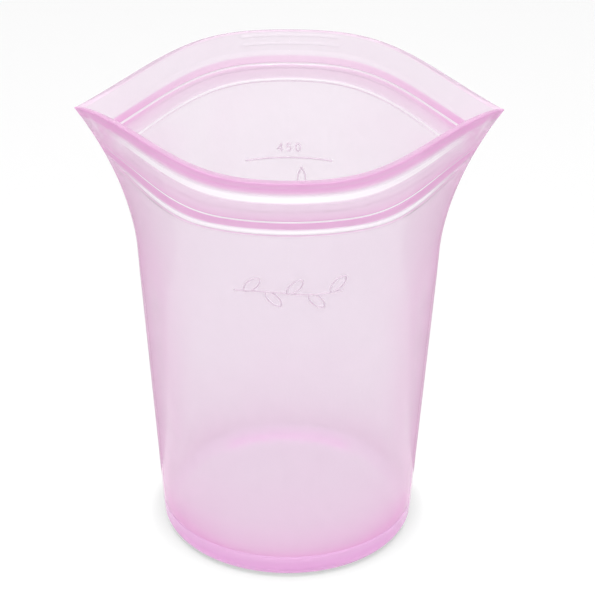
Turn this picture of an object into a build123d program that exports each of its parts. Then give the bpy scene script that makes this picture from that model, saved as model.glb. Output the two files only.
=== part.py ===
from build123d import *
import os
from math import cos, pi

# Soft silicone stand-up cup whose pointed mouth presses shut like a zip bag.
# Millimetres. +Z is up, the origin is the centre of the foot on the table,
# -Y is the front and the two pointed corners of the mouth lie along X.

# Driving dimensions
HEIGHT = 141.0            # table to rim
FOOT_RADIUS = 37.1        # wall line carried down to the table
WALL = 2.1                # wall thickness of the cup
SIDE_TAPER = 0.08         # outward lean of the two sides, mm per mm
FRONT_TAPER = 0.0565      # outward lean of front and back
HEEL_TOP = 8.0            # where the heel ends and the wall starts
SHOULDER_BOTTOM = 92.0    # where the sides start to flare
ZIP_BOTTOM = 123.5        # crease under the press-zip band
LIP_BOTTOM = 134.5        # top of the press-zip band, bottom of the lip
FLARE_START = 94.0
FLARE = 14.0              # extra half width of the mouth at the rim
FLARE_POWER = 1.75
ROUND_SHAPE = 0.5         # exponent that makes a section round
POINTED_SHAPE = 1.28      # exponent that makes a section an eye with sharp corners
SHAPE_START = 85.0        # sections are round below this height
FULL_START = 122.0        # from here up the middle of the section narrows too
FULL_MIDDLE = 0.45        # share of the half width that stays round at FULL_START
POINTED_FROM = 0.85       # share of the half width where the rim is fully pointed

# Floor and heel
FLOOR_RADIUS = 31.5
FLOOR_LIFT = 0.8          # hollow under the floor
FLOOR_TOP = 3.4
HEEL_ROUND = 4.0

# Press-zip band and lip, thicknesses measured along Y
LIP_THICK = 2.0
BAND_THICK = 3.0
LIP_INSET = 0.3
BEAD_DEPTH = 1.2          # how far the zip bead and rails stand off the band
BEAD_HEIGHT = 1.0
BEAD_Z = 129.7
RIB_SEAT = 0.03           # hairline that keeps the faces of band and rib from crossing
RAIL_HEIGHT = 1.2
RAIL_SPREAD = 1.3         # rail centres above and below the bead line
GRIP_HEIGHT = 1.0
GRIP_DEPTH = 0.7
GRIP_HALF_WIDTH = 11.5
GRIP_LEVELS = (139.2, 136.8)

# The mouth is cut along X into pieces that slide past each other
CUT_GAP = 0.3             # clearance between moving pieces
CENTRE_HALF = 12.0        # half width of the centre pieces
INNER_FLANK_END = 27.0    # outer end of the flanks beside the centre
OUTER_FLANK_END = 41.0    # outer end of the flanks beside the fixed ends
CORNER_LENGTH = 4.0       # solid corner at each tip
CORNER_TIP = 0.1          # blunt end of the corner

# Raised marks
MARK_DEPTH = 0.4
MARK_SEAT = 0.02          # hairline between a mark and the wall behind it
FILL_Z = 100.0
FILL_HALF_WIDTH = 13.0
STROKE = 0.8              # width of a raised line
DIGIT_WIDTH = 2.0
DIGIT_HEIGHT = 2.6
DIGIT_PITCH = 3.0
DIGIT_Z = 103.4
DROP_X = 4.0
DROP_Z = 94.0
DROP_WIDTH = 3.4
DROP_HEIGHT = 5.0
LEAF_COUNT = 5
LEAF_WIDTH = 4.6
LEAF_HEIGHT = 6.0
LEAF_PITCH = 6.2
EMBLEM_Z = 103.0


def half_width(z):
    """Outer half width along X at height z."""
    flare = max(0.0, (z - FLARE_START) / (HEIGHT - FLARE_START)) ** FLARE_POWER
    return FOOT_RADIUS + SIDE_TAPER * z + FLARE * flare


def half_depth(z):
    """Outer half depth along Y at height z. The same as the width at the heel."""
    return half_width(HEEL_TOP) + FRONT_TAPER * (z - HEEL_TOP)


def shape(z):
    """Exponent of the section: round low down, eye shaped at the rim."""
    rise = max(0.0, (z - SHAPE_START) / (HEIGHT - SHAPE_START)) ** 1.3
    return ROUND_SHAPE + (POINTED_SHAPE - ROUND_SHAPE) * rise


def fullness(across, z):
    """Power of the outline at a share of the half width: 1 is round, more is pointed."""
    rise = min(1.0, max(0.0, (z - FULL_START) / (HEIGHT - FULL_START)))
    start = FULL_MIDDLE * (1 - rise)
    end = 1 - (1 - POINTED_FROM) * rise
    share = min(1.0, max(0.0, (across - start) / (end - start)))
    return 1 + (2 * shape(z) - 1) * share * share * (3 - 2 * share)


def outline(across, z):
    """Share of the half depth that the outline has left at a share of the half width."""
    across = min(1.0, abs(across))
    return (1 - across * across) ** (fullness(across, z) / 2)


def wall_y(x, z):
    """Distance of the outer surface from the XZ plane at x and z."""
    return half_depth(z) * outline(x / half_width(z), z)


def corner_wall(z):
    """Wall thickness at the two sides, which grows as the section gets pointed."""
    return WALL * (1 + 3 * (shape(z) - ROUND_SHAPE))


def inner_y(x, z):
    """Distance of the inner surface of the cup from the XZ plane at x and z."""
    return (half_depth(z) - WALL) * outline(x / (half_width(z) - corner_wall(z)), z)


def steps(first, last, count):
    return [first + (last - first) * i / (count - 1) for i in range(count)]


def shell_section(z, side, count=17):
    """Half ring of wall at height z, on the front (side -1) or the back (side 1)."""
    angles = steps(0, pi, count)
    with BuildSketch(Plane.XY.offset(z)) as ring:
        with BuildLine():
            a, b = half_width(z), half_depth(z)
            outer = Spline([(a * cos(t), side * b * outline(cos(t), z)) for t in angles])
            a, b = a - corner_wall(z), b - WALL
            inner = Spline([(a * cos(t), side * b * outline(cos(t), z)) for t in angles])
            Line(outer @ 0, inner @ 0)
            Line(outer @ 1, inner @ 1)
        make_face()
    return ring.sketch


def strip_section(z, side, x_first, x_last, near, far, surface=wall_y, count=9):
    """Strip at height z that follows a surface, from near to far inside it."""
    xs = steps(x_first, x_last, count)
    with BuildSketch(Plane.XY.offset(z)) as strip:
        with BuildLine():
            outer = Spline([(x, side * (surface(x, z) - near)) for x in xs])
            inner = Spline([(x, side * (surface(x, z) - far)) for x in xs])
            Line(outer @ 0, inner @ 0)
            Line(outer @ 1, inner @ 1)
        make_face()
    return strip.sketch


def corner_section(z, end, count=5):
    """Solid tip of the eye at height z, at the right (end 1) or left (end -1)."""
    tip = half_width(z) - CORNER_TIP
    xs = steps(half_width(z) - CORNER_LENGTH, tip, count)
    with BuildSketch(Plane.XY.offset(z)) as corner:
        with BuildLine():
            front = Spline([(end * x, -wall_y(x, z)) for x in xs])
            back = Spline([(end * x, wall_y(x, z)) for x in xs])
            Line(front @ 0, back @ 0)
            Line(front @ 1, back @ 1)
        make_face()
    return corner.sketch


def save(part, name):
    part.label = name
    export_step(part, f"parts/{name}.step")


os.makedirs("parts", exist_ok=True)


# Floor: a disc lifted a little off the table
with BuildPart() as floor:
    with BuildSketch(Plane.XY.offset(FLOOR_LIFT)):
        Circle(FLOOR_RADIUS)
    extrude(amount=FLOOR_TOP - FLOOR_LIFT)
save(floor.part, "floor")

# Heel: the rounded foot ring between floor and wall
with BuildPart() as heel:
    with BuildSketch(Plane.XZ):
        with BuildLine():
            foot_edge = (half_width(HEEL_ROUND) - HEEL_ROUND, 0)
            foot = Line((FLOOR_RADIUS, 0), foot_edge)
            RadiusArc(foot @ 1, (half_width(HEEL_ROUND), HEEL_ROUND), -HEEL_ROUND)
            outside = Line((half_width(HEEL_ROUND), HEEL_ROUND), (half_width(HEEL_TOP), HEEL_TOP))
            top = Line(outside @ 1, (half_width(HEEL_TOP) - WALL, HEEL_TOP))
            RadiusArc(top @ 1, (FLOOR_RADIUS, FLOOR_TOP), HEEL_TOP - FLOOR_TOP)
            Line((FLOOR_RADIUS, FLOOR_TOP), foot @ 0)
        make_face()
    revolve(axis=Axis.Z)
save(heel.part, "heel")

# Wall and shoulder: front and back halves that meet at the two sides
for side, place in ((-1, "front"), (1, "back")):
    with BuildPart() as wall:
        for z in (HEEL_TOP, 50.0, SHOULDER_BOTTOM):
            add(shell_section(z, side))
        loft()
    save(wall.part, f"{place}_wall")

    with BuildPart() as shoulder:
        for z in steps(SHOULDER_BOTTOM, ZIP_BOTTOM, 5):
            add(shell_section(z, side))
        loft()
    save(shoulder.part, f"{place}_shoulder")


def strip(z_low, z_high, side, x_first, x_last, near, far, surface=wall_y):
    """Solid strip between two heights that follows a surface of the cup."""
    with BuildPart() as piece:
        for z in (z_low, (z_low + z_high) / 2, z_high):
            add(strip_section(z, side, x_first, x_last, near, far, surface))
        loft()
    return piece.part


def fixed_end(side, end):
    """The part of the mouth between the moving flank and the corner, which stays put."""
    with BuildPart() as piece:
        for z in (ZIP_BOTTOM, (ZIP_BOTTOM + HEIGHT) / 2, HEIGHT):
            x_last = half_width(z) - CORNER_LENGTH - RIB_SEAT
            add(strip_section(z, side, end * OUTER_FLANK_END, end * x_last, 0, BAND_THICK))
        loft()
    return piece.part


def bead(z_centre, height, side, x_first, x_last):
    """Rib on the inner face of the zip band."""
    low, high = z_centre - height / 2, z_centre + height / 2
    near = BAND_THICK + RIB_SEAT
    return strip(low, high, side, x_first, x_last, near, near + BEAD_DEPTH)


def zip_rib(side, x_first, x_last):
    """The front carries one bead, the back carries two rails that it clicks between."""
    if side < 0:
        return bead(BEAD_Z, BEAD_HEIGHT, side, x_first, x_last)
    rails = [bead(BEAD_Z + lift, RAIL_HEIGHT, side, x_first, x_last) for lift in (-RAIL_SPREAD, RAIL_SPREAD)]
    return Part(children=rails)


# Mouth: each of front and back has a centre, two flanks on either side and two fixed ends
half_gap = CUT_GAP / 2
inner_flank = (CENTRE_HALF + half_gap, INNER_FLANK_END - half_gap)
outer_flank = (INNER_FLANK_END + half_gap, OUTER_FLANK_END - CUT_GAP)
spans = {
    "centre": (half_gap - CENTRE_HALF, CENTRE_HALF - half_gap),
    "right_inner": inner_flank,
    "right_outer": outer_flank,
    "left_inner": (-inner_flank[1], -inner_flank[0]),
    "left_outer": (-outer_flank[1], -outer_flank[0]),
}

for side, place in ((-1, "front"), (1, "back")):
    rib_name = "zip_bead" if side < 0 else "zip_rails"
    for span, (x_first, x_last) in spans.items():
        band = strip(ZIP_BOTTOM + CUT_GAP, LIP_BOTTOM, side, x_first, x_last, 0, BAND_THICK)
        save(band, f"{place}_{span}_zip_band")
        lip = strip(LIP_BOTTOM, HEIGHT, side, x_first, x_last, LIP_INSET, LIP_INSET + LIP_THICK)
        save(lip, f"{place}_{span}_lip")
        save(zip_rib(side, x_first, x_last), f"{place}_{span}_{rib_name}")

    for end, hand in ((-1, "left"), (1, "right")):
        save(fixed_end(side, end), f"{place}_{hand}_end")

# Corners: the two solid points where front and back are moulded together
for end, hand in ((-1, "left"), (1, "right")):
    with BuildPart() as corner:
        for z in (ZIP_BOTTOM, (ZIP_BOTTOM + HEIGHT) / 2, HEIGHT):
            add(corner_section(z, end))
        loft()
    save(corner.part, f"{hand}_corner")

# Grip ridges: two thin ribs inside the back lip for a fingertip
ridges = []
for z in GRIP_LEVELS:
    near = LIP_INSET + LIP_THICK + RIB_SEAT
    low, high = z - GRIP_HEIGHT / 2, z + GRIP_HEIGHT / 2
    ridges.append(strip(low, high, 1, -GRIP_HALF_WIDTH, GRIP_HALF_WIDTH, near, near + GRIP_DEPTH))
save(Part(children=ridges), "back_grip_ridges")


def inside_mark(x_centre, z_centre, width, height):
    """Raised mark on the inner face of the back."""
    x_first, x_last = x_centre - width / 2, x_centre + width / 2
    low, high = z_centre - height / 2, z_centre + height / 2
    return strip(low, high, 1, x_first, x_last, MARK_SEAT, MARK_SEAT + MARK_DEPTH, inner_y)


# Fill level: a long line with a three-digit number over it and a drop below
save(inside_mark(0, FILL_Z, 2 * FILL_HALF_WIDTH, STROKE), "fill_line")
digits = [inside_mark(i * DIGIT_PITCH, DIGIT_Z, DIGIT_WIDTH, DIGIT_HEIGHT) for i in (-1, 0, 1)]
save(Part(children=digits), "fill_number")
save(inside_mark(DROP_X, DROP_Z, DROP_WIDTH, DROP_HEIGHT), "drop_mark")

# Emblem: a row of leaves standing off the front
leaves = []
for i in range(LEAF_COUNT):
    x = (i - (LEAF_COUNT - 1) / 2) * LEAF_PITCH
    low, high = EMBLEM_Z - LEAF_HEIGHT / 2, EMBLEM_Z + LEAF_HEIGHT / 2
    x_first, x_last = x - LEAF_WIDTH / 2, x + LEAF_WIDTH / 2
    leaves.append(strip(low, high, -1, x_first, x_last, -MARK_SEAT, -MARK_SEAT - MARK_DEPTH))
save(Part(children=leaves), "front_emblem")
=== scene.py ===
import math

import bpy
import numpy as np
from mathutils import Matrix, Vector


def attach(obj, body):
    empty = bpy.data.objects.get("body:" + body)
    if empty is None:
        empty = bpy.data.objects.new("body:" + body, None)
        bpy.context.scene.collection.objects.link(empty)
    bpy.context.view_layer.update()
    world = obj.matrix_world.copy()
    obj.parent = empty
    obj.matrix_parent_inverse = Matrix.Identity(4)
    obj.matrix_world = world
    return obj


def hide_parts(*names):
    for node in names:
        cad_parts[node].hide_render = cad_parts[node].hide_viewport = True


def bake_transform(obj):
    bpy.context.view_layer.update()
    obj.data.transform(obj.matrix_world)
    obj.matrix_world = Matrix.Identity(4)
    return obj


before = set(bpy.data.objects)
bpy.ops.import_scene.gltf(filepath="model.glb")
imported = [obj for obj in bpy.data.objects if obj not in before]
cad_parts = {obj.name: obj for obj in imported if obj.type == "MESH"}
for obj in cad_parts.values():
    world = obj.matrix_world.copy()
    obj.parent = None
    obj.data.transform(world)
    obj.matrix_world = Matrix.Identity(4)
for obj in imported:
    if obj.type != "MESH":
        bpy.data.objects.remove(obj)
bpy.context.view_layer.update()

# A soft silicone stand-up cup with a pointed, press-shut mouth. Lengths are in millimetres
# and become metres when a mesh is made. The surface follows the same kind of formula as the
# CAD model: +Z up, front at -Y, the corners of the mouth along X.
MM = 0.001

# ---------------------------------------------------------------- driving dimensions
HEIGHT = 141.0
FOOT_RADIUS = 37.1
WALL = 2.1
SIDE_WALL = 3.0           # the wall thickens towards its two sides
SIDE_WALL_RAMP = 30.0     # height above the heel over which it does
CORNER_THINNING = 0.2     # and it gets thinner again where the outline is pointed
SIDE_TAPER = 0.08
FRONT_TAPER = 0.0565
HEEL_TOP = 8.0
FLARE_START = 94.0
FLARE = 14.2
FLARE_POWER = 1.75
ROUND_SHAPE = 0.5
POINTED_SHAPE = 1.28
SHAPE_START = 85.0
SHAPE_POWER = 1.3
SHOULDER_Z = 122.0
# Share of the half width where the round middle starts to turn into the pointed corner, and
# where it has done so: in front at the shoulder and at the rim, and at the back
FRONT_TURN_STARTS = (0.45, 0.0)
FRONT_TURN_ENDS = (1.0, 0.85)
BACK_TURN_START = 0.03
BACK_TURN_END = 0.88
FLOOR_TOP = 3.4
FLOOR_LIFT = 0.8
FLOOR_RADIUS = 31.5
HEEL_ROUND = 4.0
RECESS_STEP = 1.2         # width of the rounded step round the hollow under the floor
RECESS_ROUND = 0.8

# Height and offset of the outer face from the wall line, from the heel to the rim.
# The steps are the zip band, the groove over it and the lip.
OUTSIDE_FRONT = [
    (8, 0), (122.7, 0), (123.1, 0.2), (123.6, 0.75), (124.5, -0.1), (125.1, -0.1),
    (127.2, 0.95), (127.6, 1.1), (128.0, 0.7), (128.5, 1.1), (131.0, 1.25),
    (134.3, 1.25), (136.3, -0.5), (138.6, -0.7), (141, -0.4),
]
OUTSIDE_BACK = [
    (8, 0), (120, 0), (124, 0.5), (130, 0.8), (134, 0.6), (138, 0), (141, -0.3),
]
# The same for the inner face, measured inwards: the zip bead in front, two rails at the back
INSIDE_FRONT = [
    (8, 2.1), (123.4, 2.1), (124.0, 3.0), (125.1, 2.5), (129.0, 2.5), (129.3, 2.9),
    (130.1, 2.9), (130.5, 2.5), (133.5, 2.7), (137.0, 3.1), (141, 2.9),
]
INSIDE_BACK = [
    (8, 2.1), (123.4, 2.1), (124.0, 3.0), (125.1, 2.4), (128.4, 2.5), (129.2, 3.3),
    (130.2, 3.3), (130.45, 2.6), (130.75, 2.6), (131.0, 3.4), (131.6, 3.3),
    (134.6, 1.6), (141, 1.2),
]
# How pink the silicone looks at each height, 1 where it is thickest. The narrow pink lines under the
# bumps, in the grooves and under the steps are painted shade
THICK_AND_SHADED_PINK_OUTSIDE = [
    (8, 0.92), (11, 0.62), (20, 0.3), (35, 0.12), (60, 0.03), (122.3, 0.0),
    (122.7, 0.7), (123.1, 0.5), (123.4, 0.0), (124.6, 0.0), (124.9, 0.85),
    (127.3, 0.95), (127.6, 1.0), (127.8, 0.2), (128.3, 0.3), (128.45, 1.0),
    (128.8, 0.65), (131.5, 0.38), (134.2, 0.16), (134.45, 0.3), (134.7, 0.0),
    (136.4, 0.0), (137.4, 0.75), (138.6, 1.0), (139.1, 0.9), (140.0, 0.95),
    (140.5, 1.0), (141, 1.0),
]
# Inside: pink over the heel where it is thick; the pink on the undersides of the rails is painted
# shade
THICK_AND_SHADED_PINK_INSIDE = [
    (8, 0.9), (14, 0.4), (30, 0.1), (60, 0.0), (123.3, 0.0), (123.6, 0.3), (124.0, 0.0),
    (124.8, 0.05), (128.6, 0.5), (130.1, 0.9), (130.4, 0.5), (131.0, 0.6),
    (131.4, 0.95), (133.0, 0.8), (133.4, 0.1), (141, 0.05),
]
PINK_BACK = [(8, 0.9), (20, 0.35), (45, 0.04), (122.5, 0), (123, 0.4), (131, 0.4), (132, 0)]
# Painted highlights: the edges of the ridges are painted pale where the lamps would gleam on them
PAINTED_HIGHLIGHT_OUTSIDE = [
    (123.3, 0), (123.7, 1), (124.3, 1), (124.7, 0), (127.7, 0), (127.85, 1),
    (128.15, 1), (128.3, 0), (134.5, 0), (134.9, 1), (135.9, 1), (136.6, 0),
]
PAINTED_HIGHLIGHT_INSIDE = [
    (123.8, 0), (124.1, 1), (124.5, 1), (124.9, 0), (130.3, 0), (130.5, 1), (130.9, 1),
    (131.1, 0),
]
PROFILE_ROUNDING = 0.2    # how far the corners of these outlines are rounded
RIM_ROUND = 0.55
RIM_ROWS = 12
FINE_ROWS_FROM = 118.0    # rows of the mesh stand closer from here up
ROWS_BELOW = 52
ROWS_ABOVE = 110
GRIP_HALF_WIDTH = 15.0
GRIP_LEVELS = (139.5, 136.9)
GRIP_DEPTH = 0.4
GRIP_SPREAD = 0.42
GRIP_FADE = 1.5
CROWN = 2.0               # how the rim rises from the middle, then drops to the corners
CROWN_DROP = 3.2
FRONT_DIP = 0.9           # the middle of the front rim hangs a little lower
BACK_LIFT = [(104, 0), (124, 1.3), (130, 0.6), (HEIGHT, 0.6)]
BACK_BULGE = 1.6          # the back leans out a little behind the zip
BACK_BULGE_Z = 124.0
BACK_BULGE_REACH = 10.0

ARC_CELLS = 176
SEAM_GAP = 0.0006         # half of the hairline between the quarters


def half_width(z):
    flare = np.clip((z - FLARE_START) / (HEIGHT - FLARE_START), 0, None) ** FLARE_POWER
    return FOOT_RADIUS + SIDE_TAPER * z + FLARE * flare


def half_depth(z):
    return FOOT_RADIUS + SIDE_TAPER * HEEL_TOP + FRONT_TAPER * (z - HEEL_TOP)


def shape(z):
    rise = np.clip((z - SHAPE_START) / (HEIGHT - SHAPE_START), 0, None) ** SHAPE_POWER
    return ROUND_SHAPE + (POINTED_SHAPE - ROUND_SHAPE) * rise


def fullness(angle, z, side):
    """Power of the sine in the outline: near 1 in the middle, so round, and larger at the corners."""
    across = np.abs(np.cos(angle))
    if side < 0:
        start = np.interp(z, [SHOULDER_Z, HEIGHT], FRONT_TURN_STARTS)
        end = np.interp(z, [SHOULDER_Z, HEIGHT], FRONT_TURN_ENDS)
    else:
        start, end = BACK_TURN_START, BACK_TURN_END
    share = smooth_step((across - start) / (end - start))
    return 1 + (2 * shape(z) - 1) * share


def corner_wall(z):
    """Thickness of the wall at its two sides, measured along X."""
    thick = WALL + (SIDE_WALL - WALL) * smooth_step((z - HEEL_TOP) / SIDE_WALL_RAMP)
    return thick * (1 - CORNER_THINNING * (shape(z) - ROUND_SHAPE))


def smooth_step(t):
    t = np.clip(t, 0, 1)
    return t * t * (3 - 2 * t)


def heights():
    """Heights of the rows of the wall, close together where the zip band is."""
    low = np.linspace(HEEL_TOP, FINE_ROWS_FROM, ROWS_BELOW, endpoint=False)
    high = np.linspace(FINE_ROWS_FROM, HEIGHT - RIM_ROUND, ROWS_ABOVE)
    return np.concatenate([low, high])


def rounded(points, z):
    """Offset at the heights z of an outline given by a few points, with rounded corners."""
    known = np.array(points, float)
    spread = np.linspace(-2, 2, 17)
    weights = np.exp(-spread ** 2 / 2)
    total = 0
    for shift, weight in zip(spread, weights):
        total = total + weight * np.interp(z + shift * PROFILE_ROUNDING, known[:, 0], known[:, 1])
    return total / weights.sum()


# ---------------------------------------------------------------- surface of the wall
def outer_point(angle, z, lift, side):
    x = half_width(z) * np.cos(angle)
    y = (half_depth(z) + bulge(z, side) + lift) * np.sin(angle) ** fullness(angle, z, side)
    return x, y


def inner_point(angle, z, inset, side):
    x = (half_width(z) - corner_wall(z)) * np.cos(angle)
    y = (half_depth(z) + bulge(z, side) - inset) * np.sin(angle) ** fullness(angle, z, side)
    return x, y


def bulge(z, side):
    """How far the back leans out behind the zip."""
    if side < 0:
        return 0 * z
    return BACK_BULGE * np.exp(-((z - BACK_BULGE_Z) / BACK_BULGE_REACH) ** 2)


def crown(angle, z, side):
    """The rim stands a little higher between the middle and the corners, and drops at the corners."""
    across = np.abs(np.cos(angle))
    share = np.clip((z - FINE_ROWS_FROM) / (HEIGHT - FINE_ROWS_FROM), 0, 1) ** 2
    wave = CROWN * across ** 2 - CROWN_DROP * across ** 5
    middle = 1 - across ** 2
    if side < 0:
        return (wave - FRONT_DIP * middle) * share
    return wave * share + np.interp(z, *zip(*BACK_LIFT)) * middle


def wall_grid(side, angles):
    """Points of the wall, one column for each angle: up the outside, over the rim, down the inside."""
    z = heights()
    turn = np.linspace(0, math.pi, RIM_ROWS + 2)[1:-1]
    rim_z = HEIGHT - RIM_ROUND + RIM_ROUND * np.sin(turn)
    rows_z = np.concatenate([z, rim_z, z[::-1]])
    across = np.concatenate([0 * z, (1 - np.cos(turn)) / 2, 0 * z + 1])
    lift = rounded(OUTSIDE_FRONT if side < 0 else OUTSIDE_BACK, rows_z)
    inset = rounded(INSIDE_FRONT if side < 0 else INSIDE_BACK, rows_z)
    angle, row_z = np.meshgrid(angles, rows_z, indexing="ij")
    inset = np.broadcast_to(inset, row_z.shape).copy()
    if side > 0:
        x_inner = (half_width(row_z) - corner_wall(row_z)) * np.cos(angle)
        window = smooth_step((GRIP_HALF_WIDTH - np.abs(x_inner)) / GRIP_FADE)
        for level in GRIP_LEVELS:
            inset += GRIP_DEPTH * window * np.exp(-((row_z - level) / GRIP_SPREAD) ** 2)
    x_out, y_out = outer_point(angle, row_z, lift, side)
    x_in, y_in = inner_point(angle, row_z, inset, side)
    x = x_out + (x_in - x_out) * across
    y = y_out + (y_in - y_out) * across
    return np.stack([x, side * (y + SEAM_GAP), row_z + crown(angle, row_z, side)], -1)


def front_tones(z, rim, sideways):
    """Pink, with painted shade in the grooves, and painted highlight of the front: outside, rim and
    inside of each.
    """
    plain = 0 * sideways
    # The tips are pinker, with a clear facet just beside them; the pale on the facet is a painted
    # highlight
    tip = smooth_step((sideways - 0.8) / 0.12) * smooth_step((z - 126) / 6)
    facet = np.exp(-((sideways - 0.945) / 0.013) ** 2) * np.exp(-((z - 135.5) / 2.6) ** 2)
    outside = np.maximum(np.interp(z, *zip(*THICK_AND_SHADED_PINK_OUTSIDE)) + plain, 0.45 * tip) * (1 - 0.9 * facet)
    rim_pink = 0.95 - 0.3 * smooth_step(rim * 2) + plain
    inside = 0.2 * np.interp(z, *zip(*THICK_AND_SHADED_PINK_INSIDE)) + plain
    # Painted highlights on the ridge edges, fading out before the tips, and along the inner edge of
    # the rim
    painted_highlight_reach = smooth_step((0.9 - sideways) / 0.2)
    painted_highlight_outside = np.interp(z, *zip(*PAINTED_HIGHLIGHT_OUTSIDE)) * painted_highlight_reach + 0.35 * facet
    rim_painted_highlight = smooth_step((rim - 0.7) / 0.3) + plain
    return [outside, rim_pink, inside], [painted_highlight_outside, rim_painted_highlight, 0 * z + plain]


def back_tones(z, rim, sideways):
    """The same for the back, which is plain outside."""
    plain = 0 * sideways
    outside = np.interp(z, *zip(*PINK_BACK)) + plain
    inside = np.interp(z, *zip(*THICK_AND_SHADED_PINK_INSIDE)) * (0.4 + 0.75 * sideways ** 2)
    # Painted highlights along the upper edges of the bump and rails inside
    painted_highlight_inside = np.interp(z, *zip(*PAINTED_HIGHLIGHT_INSIDE)) + plain
    return [outside, 0.35 + 0 * rim + plain, inside], [0 * z + plain, 0 * rim + plain, painted_highlight_inside]


def wall_tones(side, angles):
    """How pink the wall is, painted shade included, and how much highlight is painted on it, at each
    point of wall_grid.
    """
    z = heights()
    rim = np.linspace(0, 1, RIM_ROWS + 2)[1:-1]
    sideways = np.abs(np.cos(angles))[:, None]
    pinks, painted_highlights = (front_tones if side < 0 else back_tones)(z, rim, sideways)
    # Pinker towards the sides, most of all at the foot
    fade = 1 - (0.3 if side < 0 else 0.8) * smooth_step((z - FINE_ROWS_FROM) / 8)
    edge = (0.4 * sideways ** 6 + 0.4 * sideways ** 16) * fade
    foot = 0.7 * sideways ** 4 * np.exp(-(z - HEEL_TOP) / 14)
    outside = np.maximum(pinks[0], edge) + foot
    inside = np.maximum(pinks[2], edge)
    pink = np.concatenate([outside, pinks[1], inside[:, ::-1]], 1)
    # The painted highlights, in the same order
    pale = np.concatenate([painted_highlights[0], painted_highlights[1], painted_highlights[2][:, ::-1]], 1)
    return np.clip(pink, 0, 1), np.clip(pale, 0, 1)


# ---------------------------------------------------------------- meshes
def mesh_object(name, points, faces, materials, face_material=None):
    mesh = bpy.data.meshes.new(name)
    mesh.from_pydata((np.asarray(points) * MM).tolist(), [], faces)
    for material in materials:
        mesh.materials.append(material)
    if face_material is not None:
        mesh.polygons.foreach_set("material_index", face_material)
    mesh.polygons.foreach_set("use_smooth", [True] * len(faces))
    mesh.update()
    piece = bpy.data.objects.new(name, mesh)
    bpy.context.scene.collection.objects.link(piece)
    return piece


def grid_faces(columns, rows, flip):
    """Quads of a grid of points numbered column by column."""
    faces = []
    for i in range(columns - 1):
        k = i + 1
        for j in range(rows - 1):
            quad = [i * rows + j, k * rows + j, k * rows + j + 1, i * rows + j + 1]
            faces.append(quad[::-1] if flip else quad)
    return faces


def wall_quarter(name, side, hand, silicone, joint_face):
    """The front or back of the cup above the heel, left or right of the middle, as one closed skin."""
    angles = np.linspace(0, math.pi, ARC_CELLS + 1)
    middle = ARC_CELLS // 2
    part = slice(0, middle + 1) if hand > 0 else slice(middle, None)
    whole = wall_grid(side, angles)
    points = whole[part] + np.array([hand * SEAM_GAP, 0, 0])
    columns, rows = points.shape[:2]
    flip = side < 0
    faces = grid_faces(columns, rows, flip)
    skin = len(faces)
    # Joint faces: at the side and in the middle, then along the heel
    for i, turned in ((0, flip), (columns - 1, not flip)):
        for j in range(rows // 2 - 1):
            a, b = i * rows + j, i * rows + rows - 1 - j
            quad = [a, a + 1, b - 1, b]
            faces.append(quad[::-1] if turned else quad)
    for i in range(columns - 1):
        a, b = i * rows, (i + 1) * rows
        quad = [a, a + rows - 1, b + rows - 1, b]
        faces.append(quad[::-1] if flip else quad)
    kinds = [0] * skin + [1] * (len(faces) - skin)
    piece = mesh_object(name, points.reshape(-1, 3), faces, [silicone, joint_face], kinds)
    set_normals(piece, wall_normals(side, angles, whole)[part], skin)
    # pink holds thickness and painted shade; pale holds the painted highlights
    pink, pale = wall_tones(side, angles)
    add_tones(piece, pink[part], pale[part])
    return piece


def wall_normals(side, angles, points):
    """Normals of the uncut surface, so that the joints between the quarters don't show."""
    before = points[1] * (1, -1, 1)
    after = points[-2] * (1, -1, 1)
    wide = np.concatenate([before[None], points, after[None]])
    along = np.gradient(wide, angles[1] - angles[0], axis=0)[1:-1]
    up = np.gradient(points, axis=1)
    normal = np.cross(along, up) * side
    return normal / np.maximum(np.linalg.norm(normal, axis=-1, keepdims=True), 1e-12)


def set_normals(piece, normals, skin):
    """Gives the first faces of the mesh, the skin, these normals. The joint faces stay flat."""
    mesh = piece.data
    loops = np.zeros(len(mesh.loops), int)
    mesh.loops.foreach_get("vertex_index", loops)
    corner_normals = normals.reshape(-1, 3)[loops]
    corner_normals[4 * skin:] = 0
    mesh.normals_split_custom_set(corner_normals.tolist())


def add_tones(piece, pink, pale):
    """Stores the two tones on the points of the mesh, where the material reads them: pink, for thick
    silicone and on the wall also painted shade, and pale, a painted highlight.
    """
    for name, values in (("pink", pink), ("pale", pale)):
        attribute = piece.data.attributes.new(name, "FLOAT", "POINT")
        attribute.data.foreach_set("value", np.asarray(values, np.float32).reshape(-1))


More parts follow.
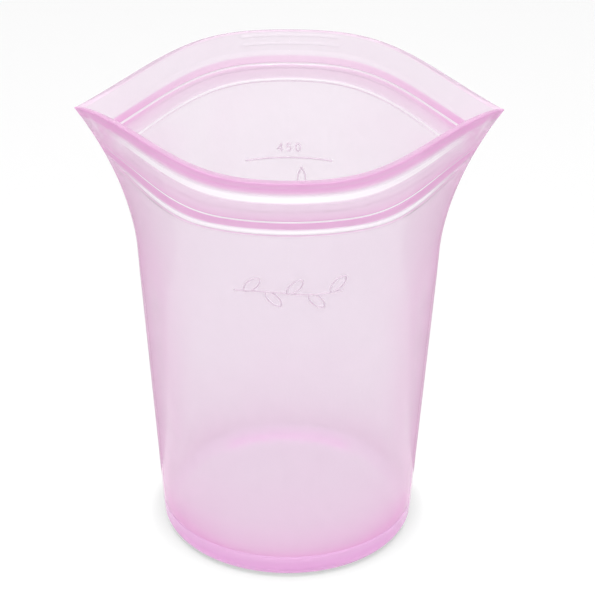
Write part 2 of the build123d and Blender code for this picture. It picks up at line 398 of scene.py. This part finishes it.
# ---------------------------------------------------------------- floor and heel
def base_profile():
    """Radius and height round the floor and heel, from under the middle to over it."""
    recess = FLOOR_RADIUS - RECESS_STEP
    under = [(r, FLOOR_LIFT) for r in np.linspace(0, recess, 14)]
    turn = np.linspace(0, math.pi / 2, 7)[1:]
    step_down = [(recess + RECESS_ROUND * math.sin(t), FLOOR_LIFT * math.cos(t)) for t in turn]
    edge = FOOT_RADIUS + SIDE_TAPER * HEEL_ROUND - HEEL_ROUND
    flat = [(r, 0.0) for r in np.linspace(step_down[-1][0], edge, 5)[1:]]
    turn = np.linspace(0, math.pi / 2, 22)[1:]
    heel = [(edge + HEEL_ROUND * math.sin(t), HEEL_ROUND * (1 - math.cos(t))) for t in turn]
    top = HEEL_TOP - SEAM_GAP
    side = [(FOOT_RADIUS + SIDE_TAPER * z, z) for z in np.linspace(HEEL_ROUND, top, 5)[1:]]
    inner_edge = FOOT_RADIUS + SIDE_TAPER * HEEL_TOP - WALL
    radius = HEEL_TOP - FLOOR_TOP
    turn = np.linspace(0, math.pi / 2, 22)
    corner = [(inner_edge - radius * (1 - math.cos(t)), top - radius * math.sin(t)) for t in turn]
    floor = [(r, FLOOR_TOP) for r in np.linspace(corner[-1][0], 0, 16)[1:]]
    return under + step_down + flat + heel + side, corner + floor


def base_tones(points):
    """Pink heel and paler floor, with a thin pink arc at the back where the floor turns up."""
    x, y, height = points.T
    radius = np.hypot(x, y)
    heel = 0.95 - 0.14 * smooth_step((height - 3) / 5)
    arc = np.exp(-((radius - 34.2) / 0.9) ** 2) * smooth_step((22 - np.abs(x)) / 5) * (y > 0)
    arc = arc * (height > FLOOR_TOP - 0.1) * (height < HEEL_TOP - 0.5)
    return np.clip(np.where(radius > 36.5, heel, 0.32) + arc, 0, 1)


def cup_base(silicone, joint_face):
    """The floor and heel as one closed skin, turned about the middle."""
    outside, inside = base_profile()
    profile = np.array(outside + inside)
    turns = np.linspace(0, 2 * math.pi, 2 * ARC_CELLS, endpoint=False)
    columns, rows = len(turns), len(profile)
    points = np.zeros((columns, rows, 3))
    points[:, :, 0] = np.cos(turns)[:, None] * profile[:, 0]
    points[:, :, 1] = np.sin(turns)[:, None] * profile[:, 0]
    points[:, :, 2] = profile[:, 1]
    faces, kinds = [], []
    for i in range(columns):
        k = (i + 1) % columns
        for j in range(1, rows - 2):
            faces.append([i * rows + j, k * rows + j, k * rows + j + 1, i * rows + j + 1])
            kinds.append(1 if j == len(outside) - 1 else 0)
    flat_points = points.reshape(-1, 3)
    bottom, top = len(flat_points), len(flat_points) + 1
    flat_points = np.vstack([flat_points, [0, 0, FLOOR_LIFT], [0, 0, FLOOR_TOP]])
    for i in range(columns):
        k = (i + 1) % columns
        faces.append([i * rows + 1, bottom, k * rows + 1])
        faces.append([i * rows + rows - 2, k * rows + rows - 2, top])
        kinds += [0, 0]
    used = sorted({v for face in faces for v in face})
    index = {v: n for n, v in enumerate(used)}
    faces = [[index[v] for v in face] for face in faces]
    flat_points = flat_points[used]
    piece = mesh_object("cup_base", flat_points, faces, [silicone, joint_face], kinds)
    piece.data.polygons.foreach_set("use_smooth", [kind == 0 for kind in kinds])
    pink = base_tones(flat_points)
    add_tones(piece, pink, 0 * pink)
    return piece


# ---------------------------------------------------------------- materials
CLEAR = (0.934, 0.858, 0.926, 1)
# Deep pink where the silicone is thick, also used for the painted shade in the grooves
PINK_THICK_AND_SHADED = (0.847, 0.409, 0.72, 1)
BASE_PINK = (0.955, 0.44, 0.86, 1)
# Near white of the painted highlights on the ridges
PAINTED_HIGHLIGHT_COLOUR = (0.937, 0.884, 0.936, 1)
SILICONE_IOR = 1.41
GLOSS_TINT = (0.99, 0.86, 0.95, 1)
MOST_CLEAR = 0.7          # share of the light that passes where the silicone is thin
LEAST_CLEAR = 0.1
MILKY_PINK = 0.42         # how much less passes where it looks pink, and where a highlight is painted pale
MILKY_PAINTED_HIGHLIGHT = 0.6
CLOUD_SCALE = 55.0        # soft clouds in the tone and the gloss
CLOUD_TONE = 0.12
GRAIN_SCALE = 900.0       # fine grain of the mould
GRAIN_DEPTH = 0.0003


def number_math(tree, operation, *values):
    """A Math node. Each input is a number or the output of another node."""
    node = tree.nodes.new("ShaderNodeMath")
    node.operation = operation
    for socket, value in zip(node.inputs, values):
        if hasattr(value, "is_output"):
            tree.links.new(value, socket)
        else:
            socket.default_value = value
    return node.outputs[0]


def colour_mix(tree, share, first, second):
    """A colour between two colours. Each is a value or the output of another node."""
    node = tree.nodes.new("ShaderNodeMix")
    node.data_type = "RGBA"
    tree.links.new(share, node.inputs["Factor"])
    for socket, value in ((node.inputs[6], first), (node.inputs[7], second)):
        if hasattr(value, "is_output"):
            tree.links.new(value, socket)
        else:
            socket.default_value = value
    return node.outputs[2]


def tone_input(tree, name):
    """One of the tones that add_tones stores."""
    node = tree.nodes.new("ShaderNodeAttribute")
    node.attribute_name = name
    return node.outputs["Fac"]


def noise_input(tree, scale, detail):
    """Soft noise that moves with the piece."""
    place = tree.nodes.new("ShaderNodeTexCoord")
    noise = tree.nodes.new("ShaderNodeTexNoise")
    noise.inputs["Scale"].default_value = scale
    noise.inputs["Detail"].default_value = detail
    tree.links.new(place.outputs["Object"], noise.inputs["Vector"])
    return noise.outputs["Fac"]


def make_silicone(name, deep_pink):
    """Soft tinted silicone: pinker where it is thick and where shade is painted in the grooves, with
    painted highlights on the edges of the ridges.
    """
    material = bpy.data.materials.new(name)
    material.use_nodes = True
    tree = material.node_tree
    tree.nodes.clear()
    output = tree.nodes.new("ShaderNodeOutputMaterial")
    shader = tree.nodes.new("ShaderNodeBsdfPrincipled")
    shader.inputs["Specular Tint"].default_value = GLOSS_TINT
    shader.inputs["IOR"].default_value = SILICONE_IOR
    # The pink tone holds thickness and painted shade; the pale tone is a painted highlight, mixed
    # towards near white
    pink, pale = tone_input(tree, "pink"), tone_input(tree, "pale")
    cloud = noise_input(tree, CLOUD_SCALE, 3.0)
    grain = noise_input(tree, GRAIN_SCALE, 2.0)
    clouded = number_math(tree, "MULTIPLY_ADD", cloud, CLOUD_TONE, -CLOUD_TONE / 2)
    pink = number_math(tree, "ADD", pink, clouded)
    pink.node.use_clamp = True
    colour = colour_mix(tree, pale, colour_mix(tree, pink, CLEAR, deep_pink), PAINTED_HIGHLIGHT_COLOUR)
    tree.links.new(colour, shader.inputs["Base Color"])
    milky = number_math(tree, "MULTIPLY", pink, MILKY_PINK)
    milky = number_math(tree, "ADD", milky, number_math(tree, "MULTIPLY", pale, MILKY_PAINTED_HIGHLIGHT))
    clear = number_math(tree, "SUBTRACT", MOST_CLEAR, milky)
    clear = number_math(tree, "MAXIMUM", clear, LEAST_CLEAR)
    tree.links.new(clear, shader.inputs["Transmission Weight"])
    rough = number_math(tree, "MULTIPLY_ADD", cloud, 0.04, 0.025)
    tree.links.new(rough, shader.inputs["Roughness"])
    bump = tree.nodes.new("ShaderNodeBump")
    bump.inputs["Strength"].default_value = 0.06
    bump.inputs["Distance"].default_value = GRAIN_DEPTH
    tree.links.new(grain, bump.inputs["Height"])
    tree.links.new(bump.outputs["Normal"], shader.inputs["Normal"])
    tree.links.new(shader.outputs[0], output.inputs["Surface"])
    return material


def make_joint_face(name):
    """Lets light straight through where two pieces of one moulding meet."""
    material = bpy.data.materials.new(name)
    material.use_nodes = True
    tree = material.node_tree
    tree.nodes.clear()
    output = tree.nodes.new("ShaderNodeOutputMaterial")
    clear = tree.nodes.new("ShaderNodeBsdfTransparent")
    tree.links.new(clear.outputs[0], output.inputs["Surface"])
    return material


# ---------------------------------------------------------------- the cup
silicone = make_silicone("silicone", PINK_THICK_AND_SHADED)
base_silicone = make_silicone("silicone_base", BASE_PINK)
joint_face = make_joint_face("silicone_joint")

base = cup_base(base_silicone, joint_face)
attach(base, "cup")
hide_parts("floor", "heel")
base.visible_diffuse = False


def bend(piece):
    """Bakes the placement of the piece into its points. Nothing here makes it follow the mouth.
    """
    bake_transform(piece)


for side, place in ((-1, "front"), (1, "back")):
    for hand, half in ((-1, "left"), (1, "right")):
        piece = wall_quarter(f"{place}_{half}_skin", side, hand, silicone, joint_face)
        bend(piece)
        piece.visible_shadow = False
        piece.visible_diffuse = False
        other = "right" if half == "left" else "left"
        nodes = [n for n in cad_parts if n.startswith(place) and f"_{other}_" not in n]
        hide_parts(*[n for n in nodes if n != "front_emblem"])
        if side < 0:
            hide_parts(f"{half}_corner")


# ---------------------------------------------------------------- raised marks
MARK_WIDTH = 0.55
MARK_HEIGHT = 0.22
MARK_SINK = 0.06          # how deep a stroke sits in the wall
MARK_RING = 7             # points across a stroke
NUMBER_WIDTH = 0.36
FINE_WIDTH = 0.4
PROBE = 0.05              # distance at which the slope of the wall is measured
FILL_Z = 100.0
FILL_HALF_WIDTH = 13.0
DIGIT_Z = 103.4
DIGIT_SIZE = (1.5, 2.5)
DIGIT_PITCH = 2.7
DROP_PLACE = (3.8, 94.3)
DROP_SIZE = (3.4, 5.4)
EMBLEM_Z = 102.8
LEAF_PITCH = 6.2
LEAF_LEAN = 0.75
LEAVES_LEFT = (0, 1)
LEAVES_RIGHT = (2, 3, 4)
STEM_REACH = 15.5
LEAF_LENGTH = 6.4
LEAF_WIDTH = 2.9
MARK_DARK = (0.73, 0.56, 0.70, 1)
MARK_LIGHT = (0.85, 0.73, 0.83, 1)
MARK_CLOUD_SCALE = 300.0
# Strokes of the digits in a box one unit wide and high
FOUR = [[(0.75, 0), (0.75, 1), (0, 0.3), (1, 0.3)]]
FIVE = [[(0.95, 1), (0.1, 1), (0.05, 0.55), (0.6, 0.62), (0.95, 0.35), (0.6, 0.0), (0.05, 0.08)]]
TURNS = np.linspace(0, 2 * math.pi, 17)
ZERO = [[(0.5 + 0.45 * math.sin(t), 0.5 + 0.5 * math.cos(t)) for t in TURNS]]


def wall_surface(x, z, side, inside):
    """Point of the plain wall at x and z, on its inner or outer face."""
    width = half_width(z) - (corner_wall(z) if inside else 0)
    angle = np.arccos(np.clip(x / width, -1, 1))
    profile = INSIDE_BACK if side > 0 else INSIDE_FRONT
    inset = np.interp(z, *zip(*profile)) if inside else 0
    y = (half_depth(z) + bulge(z, side) - inset) * np.sin(angle) ** fullness(angle, z, side)
    return np.array([x, side * y, z + crown(angle, z, side)])


def stroke(path, side, inside, closed, width):
    """Points and faces of a half-round ridge along a path of (x, z) on the wall."""
    outward = side * (-1 if inside else 1)
    count, ring = len(path), MARK_RING
    points = []
    for i, (x, z) in enumerate(path):
        before = path[(i - 1) % count] if closed or i > 0 else path[0]
        after = path[(i + 1) % count] if closed or i < count - 1 else path[-1]
        here = wall_surface(x, z, side, inside)
        along = wall_surface(*after, side, inside) - wall_surface(*before, side, inside)
        along /= np.linalg.norm(along)
        across_x = wall_surface(x + PROBE, z, side, inside) - wall_surface(x - PROBE, z, side, inside)
        across_z = wall_surface(x, z + PROBE, side, inside) - wall_surface(x, z - PROBE, side, inside)
        normal = np.cross(across_z, across_x)
        normal *= outward * np.sign(normal[1]) / np.linalg.norm(normal)
        sideways = np.cross(normal, along)
        for t in np.linspace(0, math.pi, ring):
            lift = (MARK_HEIGHT + MARK_SINK) * math.sin(t) - MARK_SINK
            points.append(here + sideways * width / 2 * math.cos(t) + normal * lift)
    faces = []
    for i in range(count if closed else count - 1):
        k = (i + 1) % count
        for j in range(ring):
            m = (j + 1) % ring
            faces.append([i * ring + j, i * ring + m, k * ring + m, k * ring + j])
    if not closed:
        faces.append(list(range(ring))[::-1])
        faces.append([(count - 1) * ring + j for j in range(ring)])
    return points, faces


def smooth_path(path, closed, step=0.25):
    """The path with more points, at even distances."""
    line = np.array(path + path[:1] if closed else path, float)
    length = np.concatenate([[0], np.cumsum(np.linalg.norm(np.diff(line, axis=0), axis=1))])
    count = max(2, int(length[-1] / step) + 1)
    at = np.linspace(0, length[-1], count, endpoint=not closed)
    xs = np.interp(at, length, line[:, 0])
    zs = np.interp(at, length, line[:, 1])
    return list(zip(xs.tolist(), zs.tolist()))


def mark_piece(name, paths, side, inside, material, width=MARK_WIDTH):
    """One object out of several strokes. Each path comes with whether it is closed."""
    points, faces = [], []
    for path, closed in paths:
        more, sides = stroke(smooth_path(path, closed), side, inside, closed, width)
        faces += [[i + len(points) for i in face] for face in sides]
        points += more
    piece = mesh_object(name, points, faces, [material])
    bend(piece)
    return piece


def digit_paths(strokes, column):
    """The strokes of a digit, in column -1, 0 or 1 of the number."""
    width, height = DIGIT_SIZE
    left = column * DIGIT_PITCH - width / 2
    bottom = DIGIT_Z - height / 2
    return [([(left + x * width, bottom + z * height) for x, z in line], False) for line in strokes]


def drop_path():
    """Outline of a drop, pointed at the top."""
    x, z = DROP_PLACE
    width, height = DROP_SIZE
    line = []
    for t in np.linspace(0, 2 * math.pi, 40, endpoint=False):
        across = width / 2 * math.sin(t) * math.sin(t / 2) ** 1.5
        line.append((x + across, z + height / 2 * math.cos(t)))
    return line


def leaf_path(x, z, lean, up):
    """Outline of a leaf with two pointed ends, leaning from the upright, above or below its foot."""
    line = []
    for t in np.linspace(0, 2 * math.pi, 36, endpoint=False):
        along = LEAF_LENGTH * (1 - math.cos(t)) / 2
        across = LEAF_WIDTH / 2 * math.sin(t) * abs(math.sin(t)) ** 0.3
        line.append((x + along * math.sin(lean) + across * math.cos(lean),
                     z + up * (along * math.cos(lean) - across * math.sin(lean))))
    return line


def make_mark_material(name):
    """The raised strokes, a little duller and more mauve than the wall."""
    material = bpy.data.materials.new(name)
    material.use_nodes = True
    tree = material.node_tree
    shader = tree.nodes["Principled BSDF"]
    cloud = noise_input(tree, MARK_CLOUD_SCALE, 2.0)
    colour = colour_mix(tree, cloud, MARK_DARK, MARK_LIGHT)
    tree.links.new(colour, shader.inputs["Base Color"])
    rough = number_math(tree, "MULTIPLY_ADD", cloud, 0.2, 0.2)
    tree.links.new(rough, shader.inputs["Roughness"])
    shader.inputs["IOR"].default_value = SILICONE_IOR
    return material


mark_material = make_mark_material("silicone_mark")
left_digits = digit_paths(FOUR, -1)
right_digits = digit_paths(FIVE, 0) + digit_paths(ZERO, 1)
for hand, half, digits in ((-1, "left", left_digits), (1, "right", right_digits)):
    line = [(hand * x, FILL_Z) for x in np.linspace(0, FILL_HALF_WIDTH, 16)]
    piece = mark_piece(f"fill_line_{half}", [(line, False)], 1, True, mark_material)
    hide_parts("fill_line")
    piece = mark_piece(f"fill_number_{half}", digits, 1, True, mark_material, NUMBER_WIDTH)
    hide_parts("fill_number")
drop_mark = mark_piece("drop_raised", [(drop_path(), True)], 1, True, mark_material, FINE_WIDTH)
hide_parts("drop_mark")


def sprig_paths(hand):
    """The half of the leaf sprig on one side of the middle."""
    paths = []
    for i in LEAVES_LEFT if hand < 0 else LEAVES_RIGHT:
        foot = (i - 2) * LEAF_PITCH - 0.3
        up = 1 if i % 2 == 0 else -1
        foot_z = EMBLEM_Z + 0.4 * math.sin(i * 1.6)
        paths.append((leaf_path(foot, foot_z, LEAF_LEAN, up), True))
    stem = []
    for reach in np.linspace(0, STEM_REACH, 30):
        x = hand * reach
        stem.append((x, EMBLEM_Z + 0.5 * math.sin((x + 14) / 28 * math.pi * 1.9)))
    return paths + [(stem, False)]


for hand, half in ((-1, "left"), (1, "right")):
    piece = mark_piece(f"emblem_{half}", sprig_paths(hand), -1, False, mark_material, FINE_WIDTH)
    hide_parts("front_emblem")

# ---------------------------------------------------------------- studio
FLOOR_REACH = 3.0
WORLD_STRENGTH = 0.62
SUN_STRENGTH = 0.68
SUN_SPREAD = 50           # degrees
STRIP_HEADINGS = (-120, -75, -38, 0, 38, 75, 120)
STRIP_ELEVATION = math.radians(60)
STRIP_DISTANCE = 0.7
STRIP_AIM = (0, 0, 0.13)
STRIP_SIZE = (0.38, 0.05)
STRIP_POWER = 0.33
CARD_COLOUR = (0.68, 0.54, 0.63, 1)
CARD_INNER = 38.5
CARD_OUTER = 200.0
CARD_BEHIND = 20.0
CARD_TOP = 300.0
CARD_LEAN = 22.0


def studio_floor():
    """A plain pale floor."""
    reach = FLOOR_REACH
    corners = [(-reach, -reach, 0), (reach, -reach, 0), (reach, reach, 0), (-reach, reach, 0)]
    mesh = bpy.data.meshes.new("floor_plane")
    mesh.from_pydata(corners, [], [(0, 1, 2, 3)])
    floor = bpy.data.objects.new("floor_plane", mesh)
    bpy.context.scene.collection.objects.link(floor)
    material = bpy.data.materials.new("pale_floor")
    material.use_nodes = True
    shader = material.node_tree.nodes["Principled BSDF"]
    shader.inputs["Base Color"].default_value = (0.93, 0.93, 0.93, 1)
    shader.inputs["Roughness"].default_value = 0.9
    mesh.materials.append(material)


def dark_cards():
    """Two cards beside the cup that only reflections see: they give the clear wall an outline."""
    material = bpy.data.materials.new("dark_card")
    material.use_nodes = True
    shader = material.node_tree.nodes["Principled BSDF"]
    shader.inputs["Base Color"].default_value = (0, 0, 0, 1)
    shader.inputs["Specular IOR Level"].default_value = 0
    shader.inputs["Emission Color"].default_value = CARD_COLOUR
    shader.inputs["Emission Strength"].default_value = 1
    top_inner = CARD_INNER + CARD_LEAN
    corners = [(CARD_INNER, 0), (CARD_OUTER, 0), (CARD_OUTER, CARD_TOP), (top_inner, CARD_TOP)]
    for hand, half in ((-1, "left"), (1, "right")):
        points = [(hand * x, CARD_BEHIND, z) for x, z in corners]
        card = mesh_object(f"dark_card_{half}", points, [(0, 1, 2, 3)], [material])
        card.visible_camera = False
        card.visible_diffuse = False
        card.visible_transmission = False
        card.visible_shadow = False


def sky():
    """Even white light from all round."""
    world = bpy.data.worlds.new("studio")
    bpy.context.scene.world = world
    world.use_nodes = True
    background = world.node_tree.nodes["Background"]
    background.inputs["Color"].default_value = (1, 1, 1, 1)
    background.inputs["Strength"].default_value = WORLD_STRENGTH


def soft_sun():
    sun = bpy.data.lights.new("soft_sun", "SUN")
    sun.energy = SUN_STRENGTH
    sun.angle = math.radians(SUN_SPREAD)
    lamp = bpy.data.objects.new("soft_sun", sun)
    lamp.rotation_euler = (math.radians(20), 0, 0)
    bpy.context.scene.collection.objects.link(lamp)


def strip_light(place):
    """A narrow lamp that looks at the mouth of the cup and draws a highlight along its ridges."""
    light = bpy.data.lights.new("strip_light", "AREA")
    light.shape = "RECTANGLE"
    light.size, light.size_y = STRIP_SIZE
    light.energy = STRIP_POWER
    lamp = bpy.data.objects.new("strip_light", light)
    bpy.context.scene.collection.objects.link(lamp)
    lamp.location = place
    direction = Vector(STRIP_AIM) - Vector(place)
    lamp.rotation_euler = direction.to_track_quat("-Z", "Y").to_euler()


studio_floor()
dark_cards()
sky()
soft_sun()
for turn in STRIP_HEADINGS:
    heading = math.radians(turn)
    reach = STRIP_DISTANCE * math.cos(STRIP_ELEVATION)
    rise = STRIP_DISTANCE * math.sin(STRIP_ELEVATION)
    strip_light((reach * math.sin(heading), -reach * math.cos(heading), STRIP_AIM[2] + rise))

# ---------------------------------------------------------------- light paths
cycles = bpy.context.scene.cycles
cycles.max_bounces = 32
cycles.transmission_bounces = 32
cycles.glossy_bounces = 12
cycles.transparent_max_bounces = 48
cycles.sample_clamp_indirect = 4.0

# ---------------------------------------------------------------- camera
ELEVATION = math.radians(31.5)
DISTANCE = 1.41
ROLL = 0.005
LENS = 286.9
SHIFT = (0.0155, 0.0237)
TARGET = np.array([0, 0, 0.0705])
camera_data = bpy.data.cameras.new("camera")
camera_data.lens = LENS
camera_data.sensor_width = 36
camera_data.shift_x, camera_data.shift_y = SHIFT
camera_data.clip_start = 0.01
camera = bpy.data.objects.new("camera", camera_data)
bpy.context.scene.collection.objects.link(camera)
camera.location = TARGET + DISTANCE * np.array([0, -math.cos(ELEVATION), math.sin(ELEVATION)])
camera.rotation_mode = "ZYX"
camera.rotation_euler = (math.pi / 2 - ELEVATION, 0, ROLL)
bpy.context.scene.camera = camera
bpy.context.scene.view_settings.view_transform = "Standard"
